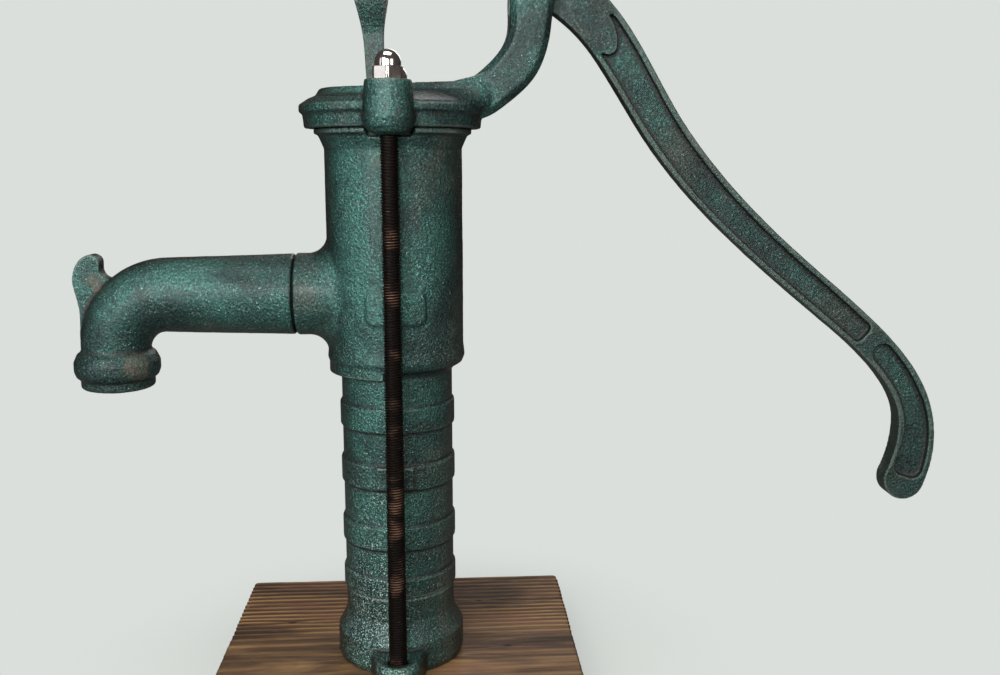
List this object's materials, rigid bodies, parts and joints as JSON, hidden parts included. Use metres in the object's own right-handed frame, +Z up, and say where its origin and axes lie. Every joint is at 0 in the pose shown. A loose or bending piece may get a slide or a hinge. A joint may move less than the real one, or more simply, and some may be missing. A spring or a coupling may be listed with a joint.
{
  "type": "hand well pump",
  "caption": "Cast-iron pitcher well pump with a curved lever, hooked spout, threaded tie rods and inner valves, bolted to a wooden board.",
  "frame": {"origin": "where the pump's upright barrel axis crosses the underside of the board", "axes": "+Z up along the barrel, +X towards the lever's handle, spout towards -X, tie rods at plus and minus Y"},
  "size_m": [0.6888, 0.29, 0.6006],
  "materials": {
    "stained_wood": "brushed softwood with ridged grain and a dark walnut stain",
    "green_casting": "metallic teal green hammer paint over rough sand-cast iron, dirt in the hollows",
    "green_lever": "the same paint, darker and dirtier from handling",
    "leather": "oiled pump leather",
    "bare_iron": "bare cast iron, lightly machined",
    "brass": "turned brass, dull",
    "dark_rod": "full-length rolled thread, blackened steel with rusty crests",
    "chrome_nut": "polished chrome acorn nut",
    "zinc_steel": "zinc-plated steel"
  },
  "bodies": {
    "frame": {"mounting_board": "stained_wood", "base_casting": "green_casting", "foot_valve_gasket": "leather", "pump_body": "green_casting", "spout": "green_casting", "cap_bracket": "green_casting", "tie_rods": "dark_rod", "cap_nuts": "chrome_nut", "board_washers": "zinc_steel", "board_nuts": "zinc_steel", "fulcrum_pin": "zinc_steel", "fulcrum_washer": "zinc_steel", "fulcrum_cotter": "zinc_steel"},
    "lever": {"lever": "green_lever", "rod_pin": "zinc_steel", "rod_pin_washer": "zinc_steel", "rod_pin_cotter": "zinc_steel"},
    "piston_rod": {"piston_rod": "green_lever"},
    "piston": {"piston_casting": "bare_iron", "piston_cup": "leather", "cup_retaining_ring": "brass", "piston_cross_pin": "brass"},
    "piston_valve": {"piston_valve": "brass"},
    "foot_valve": {"foot_valve_flap": "leather", "foot_valve_weight": "bare_iron", "foot_valve_clamp_washer": "brass", "foot_valve_screw": "brass"}
  },
  "joints": [
    {"name": "lever_pivot", "type": "hinge", "parent": "frame", "child": "lever", "pos_m": [0.1068, 0, 0.566], "axis": [0, -1, 0], "range_deg": [0, 36]},
    {"name": "rod_swing", "type": "hinge", "parent": "lever", "child": "piston_rod", "pos_m": [-0.01636, 0, 0.58353], "axis": [0, -1, 0], "range_deg": [-37.6, 0]},
    {"name": "piston_slide", "type": "slide", "parent": "frame", "child": "piston", "axis": [0, 0, -1], "range_m": [0, 0.0769]},
    {"name": "piston_valve_lift", "type": "slide", "parent": "piston", "child": "piston_valve", "axis": [0, 0, 1], "range_m": [0, 0.006]},
    {"name": "foot_valve_flap_hinge", "type": "hinge", "parent": "frame", "child": "foot_valve", "pos_m": [0.031, 0, 0.0914], "axis": [0, 1, 0], "range_deg": [0, 12]}
  ],
  "couplings": [
    {"joint": "rod_swing", "follows": "lever_pivot", "ratio": -1.0416},
    {"joint": "piston_slide", "follows": "lever_pivot", "m_per_rad": 0.12219}
  ]
}
